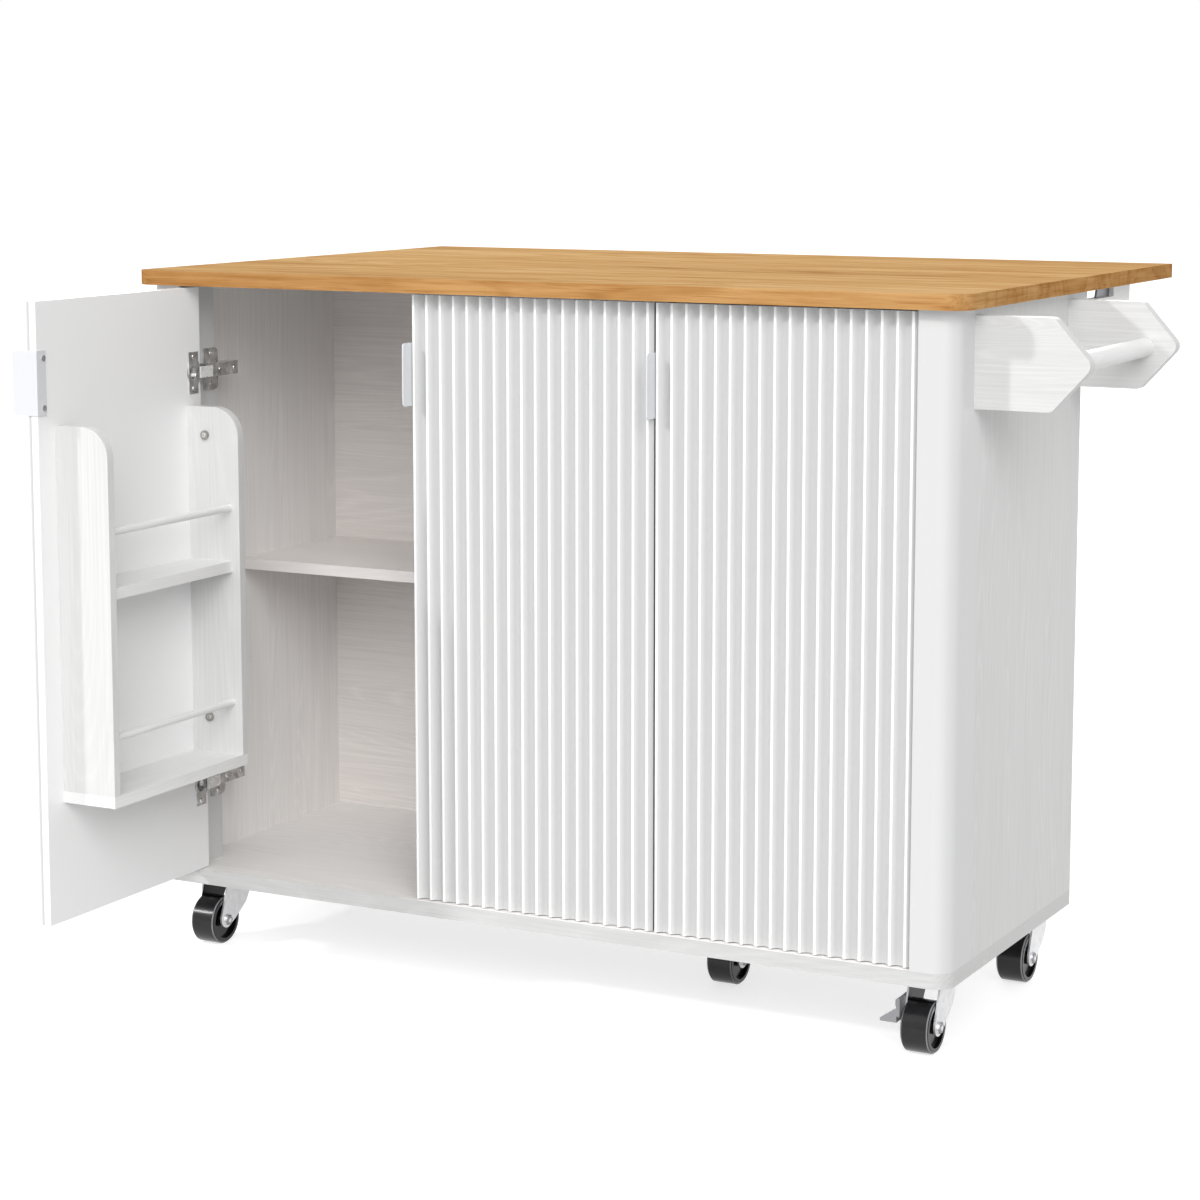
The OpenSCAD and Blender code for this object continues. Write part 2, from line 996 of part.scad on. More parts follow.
module fork(i) {
  color(c_steel)
    at_king(i) {
      difference() {
        union() {
          box([-leg_in - eps, -crown_d / 2, crown_z], [leg_in + eps, crown_d / 2, crown_top]);
          fork_leg();
          mirror([1, 0, 0])
            fork_leg();
        }
        translate([0, 0, crown_z - 1])
          cylinder(r = king_r + king_play, h = crown_t + 2);
      }
      rod_x(-leg_out, leg_out, -trail, axle_z, axle_r);
      rod_x(-leg_out - axle_cap_t, -leg_out, -trail, axle_z, axle_cap_r);
      rod_x(leg_out, leg_out + axle_cap_t, -trail, axle_z, axle_cap_r);
      if (i == 1) {
        rod_x(-leg_out - brake_gap - brake_t - 1, -leg_out + eps, brake_y, brake_z, brake_pin);
      }
    }
}

module fork_front_left() {
  fork(0);
}

module fork_front_right() {
  fork(1);
}

module fork_rear_left() {
  fork(2);
}

module fork_rear_right() {
  fork(3);
}

module fork_middle() {
  fork(4);
}

// Wheel section on the side s: bore, hub, dish and bevelled tread, outwards for the
// first side and back inwards for the second
function section_half(s) = let (
  r = wheel_d / 2,
  w = wheel_w / 2,
  bore = axle_r + axle_play,
  half = [[bore, w - hub_in], [hub_r, w - hub_in], [hub_r, w - dish_d],
    [r - tread_h, w - dish_d], [r - tread_h + tread_slope, w], [r - tread_r, w], [r, w - tread_r]]
) s < 0 ? [for (q = half) [q[0], -q[1]]] : [for (k = [len(half) - 1 : -1 : 0]) half[k]];

// Tyre with a bevelled edge ring and a recessed dish on both sides
module wheel(i) {
  color(c_black)
    at_king(i)
      translate([0, -trail, axle_z])
        rotate([0, 90, 0])
          rotate_extrude()
            polygon([for (s = [-1, 1]) each section_half(s)]);
}

module wheel_front_left() {
  wheel(0);
}

module wheel_front_right() {
  wheel(1);
}

module wheel_rear_left() {
  wheel(2);
}

module wheel_rear_right() {
  wheel(3);
}

module wheel_middle() {
  wheel(4);
}

// Lever on the inner leg: a hub on the pin, a lobe and a pointed foot tongue
module brake_pedal() {
  x1 = -leg_out - brake_gap;
  x0 = x1 - brake_t;
  tip = x1 - brake_reach;
  color(c_grey)
    at_king(1)
      difference() {
        union() {
          slab_x(x0, x1) {
            translate([brake_y, brake_z])
              circle(r = brake_hub);
            round_poly([[brake_y, brake_z + brake_hub], [brake_y, brake_z - brake_hub],
              [brake_y0, brake_foot + 4.5], [brake_y0, brake_z + 5]], [0, 0, 3, 3]);
          }
          slab_y(brake_y0, brake_y0 + brake_w)
            round_poly([[x1, brake_top], [x0 - 1.5, brake_top], [x0 - 1.5, brake_top - 8.5],
              [x0, brake_side + 6], [tip, brake_foot + 3.5], [tip, brake_foot],
              [x0, brake_foot], [x0, brake_side], [x1, brake_side]],
              [0, 2.5, 2, 0, 1.7, 1.7, 0, 0, 0]);
        }
        rod_x(x0 - brake_reach, x1 + 1, brake_y, brake_z, brake_pin + brake_play);
      }
}

base_board();
side_panel_left();
side_panel_right();
corner_post_left();
corner_post_right();
partition();
back_panel();
bay_shelf();
rear_rail();
worktop();
leaf_hinges_fixed();
arm_brackets();
towel_bracket_front();
towel_bracket_rear();
towel_bar();
hinge_plates();
caster_plates();
drop_leaf();
leaf_hinges_moving();
leaf_arm_left();
arm_plate_left();
leaf_arm_right();
arm_plate_right();
door_left();
handle_left();
hinge_cups_left();
door_screws_left();
rack_side_near();
rack_side_far();
rack_shelf_upper();
rack_shelf_lower();
rack_rods();
rack_bolts();
door_middle();
handle_middle();
hinge_cups_middle();
door_screws_middle();
door_right();
handle_right();
hinge_cups_right();
door_screws_right();
hinge_links_left();
hinge_links_middle();
hinge_links_right();
fork_front_left();
fork_front_right();
fork_rear_left();
fork_rear_right();
fork_middle();
wheel_front_left();
wheel_front_right();
wheel_rear_left();
wheel_rear_right();
wheel_middle();
brake_pedal();
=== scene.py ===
"""Kitchen island: materials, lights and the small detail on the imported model."""
import math

import bmesh
import bpy
from mathutils import Matrix, Vector


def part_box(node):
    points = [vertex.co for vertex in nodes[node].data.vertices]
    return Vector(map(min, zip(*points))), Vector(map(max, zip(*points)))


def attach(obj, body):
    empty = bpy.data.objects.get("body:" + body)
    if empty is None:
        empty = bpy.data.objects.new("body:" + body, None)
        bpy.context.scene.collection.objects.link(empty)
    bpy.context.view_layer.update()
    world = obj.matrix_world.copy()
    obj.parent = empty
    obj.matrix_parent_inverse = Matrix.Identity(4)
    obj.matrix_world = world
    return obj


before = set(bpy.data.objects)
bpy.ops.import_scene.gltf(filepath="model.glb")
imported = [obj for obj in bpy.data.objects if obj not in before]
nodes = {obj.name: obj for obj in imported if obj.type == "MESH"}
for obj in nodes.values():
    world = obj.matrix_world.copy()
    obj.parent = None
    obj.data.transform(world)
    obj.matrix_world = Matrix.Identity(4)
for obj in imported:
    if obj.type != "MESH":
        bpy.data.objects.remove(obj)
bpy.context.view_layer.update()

# Camera, fitted to the photograph's 1200 px wide frame, in metres and degrees, its lens and
# sensor in millimetres
CAM_POS = (1.70851, -3.40984, 1.1241)
CAM_AZIMUTH = 27.64326
CAM_PITCH = 7.77201
CAM_LENS = 88.4150
CAM_SENSOR = 36
CAM_SHIFT = -0.07

# Lamps: direction, strength, angle. The key's slope follows the worktop's shadow on the towel
# bracket, and its depth keeps the open door's shadow on the open bay
LAMPS = {
    "key": ((1.0, 0.95, -0.8), 1.25, 4),
    "fill": ((-0.45, 0.50, -0.4), 1.0, 35),
    "front": ((-0.25, 0.75, -0.5), 1.3, 50),
    "back": ((0.5, -1.0, -0.35), 1.7, 40),
}
AMBIENT = 0.5
FLOOR_SIZE = 60
FLOOR_COLOR = 0.5
FLOOR_GLOW = 0.68

CASTERS = ("front_left", "front_right", "rear_left", "rear_right", "middle")
DOORS = ("left", "middle", "right")

# Values of the CAD source, in millimetres, before its shift to the bounding box: the shift, the
# underside of the worktop, and the gauge of the flanges and flaps that screws stand on
MM = 0.001
ORIGIN = (62.299032, 228.5)
UNDER_TOP = 901
SHEET = 1.2

# Doors, in the order of DOORS: the pivots and their plane, the opening at rest, and the inner
# face and the ridges, both from that plane
PIVOTS = (-511.2, 167.0, 511.2)
PIVOT_PLANE = 10.7
REST_OPENING = (90, 0, 0)
INNER = 9.3
RIDGES = -6.7

# Door hinges: heights, half the distance of a pair of screws, thickness of the mounting plates,
# the face that each plate stands on, and where the screws of plates, flanges and arms are
HINGE_Z = (231, 786)
HINGE_SCREW = 21
HINGE_PLATE = 2
PLATE_FACES = (-8.1, -1.1, -8.1)
PLATE_SCREW_Y = 54
FLANGE_X = 8.75
LINK_X = 8.2
ARM_SCREWS_Y = (55, 88)

# Spice rack: its two outer faces, the boards' thickness, and the bolts and their heads
RACK_X = (10.6, 301.4)
RACK_T = 12
BOLTS = ((27.5, 329.5), (27.5, 706.3))
BOLT_HEAD = 3

# Casters: the swivel axes, the axle seen from them, the outer face of the legs, the underside of
# the screw plates, and half the distance of their screws
KINGS = {"front_left": (-517.9, 78.7), "front_right": (517.9, 78.7),
         "rear_left": (-517.9, 413.5), "rear_right": (517.9, 413.5), "middle": (188.0, 230.5)}
AXLE = (-26, 32.5)
LEG_OUT = 21.1
PLATE_Z = 92
CASTER_SCREW = 18

# Leaf hinges: along X, their axis, and the screws from its middle
LEAF_HINGES = (-450.1, 0, 450.1)
LEAF_AXIS_Y = 503
LEAF_SCREWS_X = (-20, 0, 20)
LEAF_SCREW_Y = 16

# Head of the small screws
SCREW_RADIUS = 3.4
SCREW_HEIGHT = 1.3

# Colours, linear
WHITE_BOARD = (0.71, 0.71, 0.706)
BASE_BOARD = (0.63, 0.63, 0.626)
RACK_BOARD = (0.74, 0.74, 0.735)
SMALL_BOARD = (0.87, 0.87, 0.865)
# Inside the cabinet, paler and warmer than the boards outside: painted light and warm bounce
INSIDE_SHELF_LIT = (0.97, 0.925, 0.90)
INSIDE_BACK_LIT = (0.92, 0.875, 0.85)
INSIDE_LEFT_LIT = (0.97, 0.95, 0.93)
POST_PAINT = (0.65, 0.65, 0.65)
DOOR_PAINT = (0.92, 0.92, 0.92)
HANDLE_PAINT = (0.71, 0.72, 0.745)
NICKEL = (0.90, 0.89, 0.88)
ZINC = (0.80, 0.80, 0.81)
LINK_STEEL = (0.97, 0.97, 0.96)
BOLT_STEEL = (0.50, 0.48, 0.46)
NUT_STEEL = (0.30, 0.30, 0.31)
DARK_STEEL = (0.28, 0.28, 0.3)
BRAKE_PLASTIC = (0.27, 0.27, 0.28)
LEAF_BACKING = (0.88, 0.87, 0.85)

# Gain of the oak's flat faces, which the photo shows paler than its edges: a painted sheen, as the
# oak has no specular reflection
FLAT_SHEEN_TINT = (1.09, 1.26, 1.52)

# Tone of the painted shade on the door edges beside a gap
GAP_SHADE_TONE = 0.32

# Painted zones, in metres: depth of the flutes, which hold painted shade, half width of the crown
# painted near black as painted shade, and the wheel's section from its centre, whose rim chamfer
# carries a painted highlight
FLUTE_DEPTH = 0.006
SHADED_CROWN_HALF = 0.0186
RIM_HIGHLIGHT_R = 0.0309
TREAD_R = 0.0252
SIDE_X = 0.0158

# Rounded edges, in metres
TOP_EDGE = 0.0022
ARROW_EDGE = 0.0030
BOARD_EDGE = 0.0012
SHEET_EDGE = 0.0004
FORK_EDGE = 0.0008


# Camera, lights and stage

def make_camera():
    data = bpy.data.cameras.new("camera")
    data.lens = CAM_LENS
    data.sensor_width = CAM_SENSOR
    data.shift_y = CAM_SHIFT
    camera = bpy.data.objects.new("camera", data)
    camera.location = CAM_POS
    camera.rotation_euler = (math.radians(90 - CAM_PITCH), 0, math.radians(CAM_AZIMUTH))
    bpy.context.scene.collection.objects.link(camera)
    bpy.context.scene.camera = camera


def make_lamps():
    for name, (direction, strength, angle) in LAMPS.items():
        data = bpy.data.lights.new(name, "SUN")
        data.energy = strength
        data.angle = math.radians(angle)
        lamp = bpy.data.objects.new(name, data)
        lamp.rotation_euler = Vector(direction).to_track_quat("-Z", "Y").to_euler()
        bpy.context.scene.collection.objects.link(lamp)


def seen_rays(tree):
    """1 for camera, glossy and transmission rays, else 0."""
    path = tree.nodes.new("ShaderNodeLightPath")
    first = tree.nodes.new("ShaderNodeMath")
    first.operation = "MAXIMUM"
    second = tree.nodes.new("ShaderNodeMath")
    second.operation = "MAXIMUM"
    tree.links.new(path.outputs["Is Camera Ray"], first.inputs[0])
    tree.links.new(path.outputs["Is Glossy Ray"], first.inputs[1])
    tree.links.new(first.outputs[0], second.inputs[0])
    tree.links.new(path.outputs["Is Transmission Ray"], second.inputs[1])
    return second.outputs[0]


def make_world():
    world = bpy.data.worlds.new("studio")
    bpy.context.scene.world = world
    world.use_nodes = True
    tree = world.node_tree
    tree.nodes.clear()
    ambient = tree.nodes.new("ShaderNodeBackground")
    ambient.inputs["Color"].default_value = (1, 1, 1, 1)
    ambient.inputs["Strength"].default_value = AMBIENT
    seen = tree.nodes.new("ShaderNodeBackground")
    seen.inputs["Color"].default_value = (1, 1, 1, 1)
    seen.inputs["Strength"].default_value = 1
    mix = tree.nodes.new("ShaderNodeMixShader")
    out = tree.nodes.new("ShaderNodeOutputWorld")
    tree.links.new(seen_rays(tree), mix.inputs[0])
    tree.links.new(ambient.outputs[0], mix.inputs[1])
    tree.links.new(seen.outputs[0], mix.inputs[2])
    tree.links.new(mix.outputs[0], out.inputs[0])


def make_floor():
    """A pale floor that keeps the shadow; what the camera sees is lifted to white."""
    bpy.ops.mesh.primitive_grid_add(x_subdivisions=2, y_subdivisions=2, size=FLOOR_SIZE)
    floor = bpy.context.object
    floor.name = "floor"
    material = bpy.data.materials.new("floor")
    material.use_nodes = True
    tree = material.node_tree
    tree.nodes.clear()
    diffuse = tree.nodes.new("ShaderNodeBsdfDiffuse")
    diffuse.inputs["Color"].default_value = (FLOOR_COLOR, FLOOR_COLOR, FLOOR_COLOR, 1)
    glow = tree.nodes.new("ShaderNodeEmission")
    glow.inputs["Color"].default_value = (1, 1, 1, 1)
    add = tree.nodes.new("ShaderNodeAddShader")
    out = tree.nodes.new("ShaderNodeOutputMaterial")
    scale = tree.nodes.new("ShaderNodeMath")
    scale.operation = "MULTIPLY"
    scale.inputs[1].default_value = FLOOR_GLOW
    tree.links.new(seen_rays(tree), scale.inputs[0])
    tree.links.new(scale.outputs[0], glow.inputs["Strength"])
    tree.links.new(diffuse.outputs[0], add.inputs[0])
    tree.links.new(glow.outputs[0], add.inputs[1])
    tree.links.new(add.outputs[0], out.inputs[0])
    floor.data.materials.append(material)


# Materials

def grey(tone):
    return (tone, tone, tone)


class Shader:
    """A Principled material with helpers for the node tree."""

    def __init__(self, name, color, roughness, metallic=0.0, specular=0.5):
        self.material = bpy.data.materials.new(name)
        self.material.use_nodes = True
        self.tree = self.material.node_tree
        self.bsdf = self.tree.nodes["Principled BSDF"]
        self.set("Base Color", (*color, 1))
        self.set("Roughness", roughness)
        self.set("Metallic", metallic)
        self.set("Specular IOR Level", specular)
        place = self.tree.nodes.new("ShaderNodeTexCoord")
        self.coords = place.outputs["Object"]
        self.normal = place.outputs["Normal"]

    def set(self, socket, value):
        self.bsdf.inputs[socket].default_value = value

    def link(self, a, b):
        self.tree.links.new(a, b)

    def scaled(self, scale, offset):
        node = self.tree.nodes.new("ShaderNodeMapping")
        node.inputs["Scale"].default_value = scale
        node.inputs["Location"].default_value = offset
        self.link(self.coords, node.inputs["Vector"])
        return node.outputs[0]

    def noise(self, scale, stretch=(1, 1, 1), detail=4, rough=0.55, distortion=0.0,
              offset=(0, 0, 0)):
        node = self.tree.nodes.new("ShaderNodeTexNoise")
        node.inputs["Scale"].default_value = scale
        node.inputs["Detail"].default_value = detail
        node.inputs["Roughness"].default_value = rough
        node.inputs["Distortion"].default_value = distortion
        self.link(self.scaled(stretch, offset), node.inputs["Vector"])
        return node.outputs["Fac"]

    def ramp(self, fac, stops):
        node = self.tree.nodes.new("ShaderNodeValToRGB")
        ramp = node.color_ramp
        while len(ramp.elements) < len(stops):
            ramp.elements.new(0.5)
        for element, (place, color) in zip(ramp.elements, stops):
            element.position = place
            element.color = (*color, 1)
        self.link(fac, node.inputs["Fac"])
        return node.outputs["Color"]

    def mix(self, fac, a, b, blend="MIX"):
        node = self.tree.nodes.new("ShaderNodeMix")
        node.data_type = "RGBA"
        node.blend_type = blend
        for value, socket in ((fac, node.inputs[0]), (a, node.inputs[6]), (b, node.inputs[7])):
            if isinstance(value, (int, float)):
                socket.default_value = value
            elif isinstance(value, tuple):
                socket.default_value = (*value, 1)
            else:
                self.link(value, socket)
        return node.outputs[2]

    def math(self, operation, a, b=None):
        node = self.tree.nodes.new("ShaderNodeMath")
        node.operation = operation
        for value, socket in zip((a, b), node.inputs):
            if isinstance(value, (int, float)):
                socket.default_value = value
            elif value is not None:
                self.link(value, socket)
        return node.outputs[0]

    def part(self, vector, axis):
        node = self.tree.nodes.new("ShaderNodeSeparateXYZ")
        self.link(vector, node.inputs[0])
        return node.outputs[axis]

    def facing(self, axis, limit):
        """1 on faces whose normal lies along an axis, either way."""
        return self.math("GREATER_THAN", self.math("ABSOLUTE", self.part(self.normal, axis)), limit)

    def below(self, limit):
        """1 on faces that look down."""
        return self.math("LESS_THAN", self.part(self.normal, 2), limit)

    def looking(self, axis, side):
        """1 on faces whose normal points to one side of an axis."""
        toward = self.math("MULTIPLY", self.part(self.normal, axis), side)
        return self.math("GREATER_THAN", toward, 0.5)

    def bump(self, height, distance, strength):
        node = self.tree.nodes.new("ShaderNodeBump")
        node.inputs["Distance"].default_value = distance
        node.inputs["Strength"].default_value = strength
        self.link(height, node.inputs["Height"])
        self.link(node.outputs[0], self.bsdf.inputs["Normal"])

    def color(self, socket):
        self.link(socket, self.bsdf.inputs["Base Color"])

    def roughness(self, fac, low, high):
        node = self.tree.nodes.new("ShaderNodeMapRange")
        node.inputs["To Min"].default_value = low
        node.inputs["To Max"].default_value = high
        self.link(fac, node.inputs["Value"])
        self.link(node.outputs[0], self.bsdf.inputs["Roughness"])


def stretch_along(axis, along, across):
    return tuple(along if i == axis else across for i in range(3))


def rings(s, axis, lines, along, across, offset=(0, 0, 0)):
    """Contour lines of a long smooth noise, which read as cathedral grain: 0 to 0.5 and back."""
    broad = s.noise(1.0, stretch_along(axis, along, across), 1.5, 0.4, 0.25, offset)
    wobble = s.noise(1.0, stretch_along(axis, 7, 60), 2, 0.5, 0.0, offset)
    height = s.math("ADD", s.math("MULTIPLY", broad, lines), s.math("MULTIPLY", wobble, 0.9))
    return s.math("PINGPONG", height, 0.5)


def oak():
    """Honey oak along X on top and along every edge, with a white backing foil underneath."""
    s = Shader("oak", (0.62, 0.36, 0.15), 0.55, specular=0.0)
    broad = s.noise(1.0, (1.1, 9, 9), 5, 0.6, 0.5)
    ends = s.facing(0, 0.5)
    fibres = [s.noise(1.0, stretch_along(axis, 7, 170), 5, 0.62, 0.2) for axis in (0, 1)]
    specks = [s.noise(1.0, stretch_along(axis, 15, 560), 2, 0.5) for axis in (0, 1)]
    fine = s.mix(ends, *fibres)
    pores = s.mix(ends, *specks)
    flame = rings(s, 0, 16, 0.8, 5.5)
    base = s.ramp(broad, [(0.25, (0.40, 0.205, 0.072)), (0.48, (0.535, 0.298, 0.115)),
                          (0.75, (0.64, 0.39, 0.174))])
    band = s.ramp(s.math("MULTIPLY", flame, 2.0),
                  [(0.0, (0.78, 0.68, 0.56)), (0.3, (0.95, 0.92, 0.88)), (1.0, grey(1))])
    base = s.mix(0.7, base, band, "MULTIPLY")
    streak = s.ramp(fine, [(0.36, (0.76, 0.66, 0.54)), (0.60, grey(1))])
    base = s.mix(0.9, base, streak, "MULTIPLY")
    pore = s.ramp(pores, [(0.30, (0.68, 0.57, 0.46)), (0.43, grey(1))])
    base = s.mix(0.5, base, pore, "MULTIPLY")
    # The flat faces are painted paler and bluer: painted sheen
    sheen_flat = s.mix(1.0, base, FLAT_SHEEN_TINT, "MULTIPLY")
    wood = s.mix(s.facing(2, 0.5), base, sheen_flat)
    s.color(s.mix(s.below(-0.5), wood, LEAF_BACKING))
    s.roughness(fine, 0.5, 0.65)
    s.bump(pores, 0.0002, 0.4)
    return s.material


def white_grain(name, axis, color, offset=(0, 0, 0), contrast=1.0, inner=None):
    """White foil with an embossed cathedral grain along one axis, its ridges painted a little
    lighter as a painted highlight; inner is, where given, the axis, side and colour of the face
    inside the cabinet, painted paler and warmer as painted light inside the cabinet."""
    s = Shader(name, color, 0.42)
    if inner:
        axis_in, side_in, color_in = inner
        # Painted light: the face inside the cabinet takes a paler, warmer colour
        color = s.mix(s.looking(axis_in, side_in), color, color_in)
    wide = s.noise(1.0, stretch_along(axis, 1.5, 14), 4, 0.6, 0.4, offset)
    lines = s.noise(1.0, stretch_along(axis, 6, 300), 4, 0.62, 0.1, offset)
    flame = s.math("MULTIPLY", rings(s, axis, 75, 0.6, 7.5, offset), 2.0)
    tone = s.ramp(wide, [(0.3, grey(0.97)), (0.7, grey(1))])
    # Painted highlight: the grain's raised ridges are painted a little lighter
    ridge_highlight = s.ramp(flame, [(0.0, grey(1)), (0.35, grey(0.96)), (1.0, grey(0.94))])
    streak = s.ramp(lines, [(0.36, grey(0.92)), (0.56, grey(1))])
    base = s.mix(1.0, color, tone, "MULTIPLY")
    base = s.mix(contrast, base, ridge_highlight, "MULTIPLY")
    s.color(s.mix(contrast * 0.8, base, streak, "MULTIPLY"))
    s.roughness(lines, 0.36, 0.52)
    height = s.math("SUBTRACT", s.math("MULTIPLY", lines, 0.7), s.math("MINIMUM", flame, 0.3))
    s.bump(height, 0.0003, 0.45)
    return s.material


def satin_white(name, color, roughness):
    """Smooth satin paint with a slight orange peel and tonal drift."""
    s = Shader(name, color, roughness)
    peel = s.noise(420, detail=2)
    drift = s.noise(3.0, detail=3)
    tone = s.ramp(drift, [(0.3, grey(0.985)), (0.7, grey(1))])
    s.color(s.mix(0.7, color, tone, "MULTIPLY"))
    s.roughness(drift, roughness - 0.04, roughness + 0.06)
    s.bump(peel, 0.00004, 0.3)
    return s.material


def fluted_white(name, color, axis, front, gap_shade=1.0):
    """Satin paint with painted shade that deepens into the flutes: axis and front are those of the
    ridges, and the last argument is the tone of the painted shade on the board's edges that face X,
    beside the gaps."""
    s = Shader(name, color, 0.34)
    sunk = s.math("DIVIDE", s.math("SUBTRACT", s.part(s.coords, axis), front), FLUTE_DEPTH)
    # Painted shade, deepening into the flutes
    tone = s.ramp(sunk, [(0.0, grey(1)), (0.08, grey(0.84)), (1.0, grey(0.56))])
    outside = s.math("LESS_THAN", sunk, 1.05)
    peel = s.noise(420, detail=2)
    drift = s.noise(3.0, detail=3)
    face = s.mix(outside, color, s.mix(1.0, color, tone, "MULTIPLY"))
    # Painted shade on the edges that face X, beside the gaps between the doors
    if gap_shade < 1:
        side = s.math("MULTIPLY", s.facing(0, 0.97), s.math("GREATER_THAN", sunk, 0.2))
        face = s.mix(side, face, tuple(gap_shade * c for c in color))
    s.color(face)
    s.roughness(drift, 0.3, 0.4)
    s.bump(peel, 0.00003, 0.3)
    return s.material


def metal(name, color, roughness, worn=0.1, metallic=1.0):
    """Plated or zinc coated metal with fine brushing."""
    s = Shader(name, color, roughness, metallic=metallic)
    brush = s.noise(1.0, stretch_along(2, 30, 900), 3, 0.6)
    cloud = s.noise(90, detail=4)
    tone = s.ramp(cloud, [(0.3, grey(1 - worn)), (0.7, grey(1))])
    s.color(s.mix(1.0, color, tone, "MULTIPLY"))
    s.roughness(cloud, roughness - 0.06, roughness + 0.1)
    s.bump(brush, 0.00004, 0.35)
    return s.material


def plastic(name, color, roughness):
    """Moulded plastic with a fine eroded grain."""
    s = Shader(name, color, roughness)
    grain = s.noise(1400, detail=2)
    cloud = s.noise(60, detail=3)
    tone = s.ramp(cloud, [(0.3, grey(0.88)), (0.7, grey(1))])
    s.color(s.mix(0.8, color, tone, "MULTIPLY"))
    s.roughness(cloud, roughness - 0.05, roughness + 0.1)
    s.bump(grain, 0.00006, 0.4)
    return s.material


def wheel_material(name, centre):
    """Black wheel with a grey ring at the rim of its side faces, a painted highlight on the rim
    chamfer.
    """
    s = Shader(name, (0.03, 0.03, 0.033), 0.2, specular=0.4)
    offset = s.tree.nodes.new("ShaderNodeVectorMath")
    offset.operation = "SUBTRACT"
    offset.inputs[1].default_value = centre
    s.link(s.coords, offset.inputs[0])
    parts = s.tree.nodes.new("ShaderNodeSeparateXYZ")
    s.link(offset.outputs[0], parts.inputs[0])
    radius = s.math("SQRT", s.math("ADD", s.math("MULTIPLY", parts.outputs[1], parts.outputs[1]),
                                   s.math("MULTIPLY", parts.outputs[2], parts.outputs[2])))
    side = s.math("ABSOLUTE", parts.outputs[0])
    on_side = s.math("GREATER_THAN", side, SIDE_X)
    off_side = s.math("LESS_THAN", side, SIDE_X)
    # Painted highlight: a grey ring on the rim chamfer of the side faces
    rim_highlight_zone = s.math("MULTIPLY", s.math("GREATER_THAN", radius, RIM_HIGHLIGHT_R), on_side)
    tread = s.math("MULTIPLY", s.math("GREATER_THAN", radius, TREAD_R), off_side)
    cloud = s.noise(80, detail=3)
    dark = s.ramp(cloud, [(0.3, (0.002, 0.002, 0.0025)), (0.7, (0.006, 0.006, 0.007))])
    rim_highlight = s.ramp(cloud, [(0.3, (0.20, 0.20, 0.21)), (0.7, (0.27, 0.27, 0.28))])
    rubber = s.ramp(cloud, [(0.3, (0.005, 0.005, 0.006)), (0.7, (0.011, 0.011, 0.012))])
    s.color(s.mix(tread, s.mix(rim_highlight_zone, dark, rim_highlight), rubber))
    s.bump(s.noise(900, detail=2), 0.00005, 0.4)
    return s.material


def fork_material(name, king_x):
    """Zinc legs on both sides of the crown, which is painted near black as painted shade: king_x is
    the swivel axis.
    """
    s = Shader(name, ZINC, 0.34, metallic=0.8)
    cloud = s.noise(90, detail=4)
    brush = s.noise(1.0, stretch_along(2, 30, 900), 3, 0.6)
    offset = s.math("ABSOLUTE", s.math("SUBTRACT", s.part(s.coords, 0), king_x))
    outside = s.math("GREATER_THAN", offset, SHADED_CROWN_HALF)
    zinc = s.ramp(cloud, [(0.3, (0.66, 0.66, 0.67)), (0.7, ZINC)])
    # Painted shade: the crown between the legs is painted near black
    s.color(s.mix(outside, grey(0.02), zinc))
    s.roughness(cloud, 0.28, 0.44)
    s.bump(brush, 0.00004, 0.35)
    return s.material


def of_doors(prefix):
    return [prefix + door for door in DOORS]


def assign(material, *names):
    for name in names:
        for slot in nodes[name].material_slots:
            slot.material = material


def centre(name):
    low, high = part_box(name)
    return tuple((a + b) / 2 for a, b in zip(low, high))


def round_edges(width, *names, segments=3):
    """Small rounded edges on the boards and plates."""
    for name in names:
        bevel = nodes[name].modifiers.new("edges", "BEVEL")
        bevel.width = width
        bevel.segments = segments
        bevel.limit_method = "ANGLE"
        bevel.angle_limit = math.radians(40)


def dress_boards():
    # Inner faces and the bay shelf take paler, warmer colours: painted light inside the cabinet
    side = white_grain("white_grain_sides", 2, WHITE_BOARD, (3.1, 1.7, 0))
    side_left = white_grain("white_grain_left", 2, WHITE_BOARD, (1.1, 4.7, 0),
                            inner=(0, 1, INSIDE_LEFT_LIT))
    back = white_grain("white_grain_back", 0, WHITE_BOARD, (0.4, 5.2, 0),
                       inner=(1, -1, INSIDE_BACK_LIT))
    base = white_grain("white_grain_base", 0, BASE_BOARD, (0, 2.9, 4.1),
                       inner=(2, 1, INSIDE_LEFT_LIT))
    shelf = white_grain("white_grain_shelf", 0, INSIDE_SHELF_LIT, (0, 3.3, 0.7), contrast=0.5)
    rack = white_grain("white_grain_rack", 2, RACK_BOARD, (7.7, 2.2, 1.1), contrast=0.7)
    lengthwise = white_grain("white_grain_lengthwise", 0, WHITE_BOARD, (0, 0.9, 2.3))
    depthwise = white_grain("white_grain_depthwise", 1, SMALL_BOARD, contrast=0.5)
    assign(oak(), "worktop", "drop_leaf")
    assign(side, "side_panel_right", "partition")
    assign(side_left, "side_panel_left")
    assign(back, "back_panel")
    assign(base, "base_board")
    assign(shelf, "bay_shelf")
    assign(rack, "rack_side_near", "rack_side_far")
    assign(lengthwise, "rear_rail", "towel_bracket_front", "towel_bracket_rear")
    assign(depthwise, "leaf_arm_left", "leaf_arm_right", "rack_shelf_upper", "rack_shelf_lower",
           "rack_rods", "towel_bar")
    assign(satin_white("post_white", POST_PAINT, 0.34), "corner_post_left", "corner_post_right")


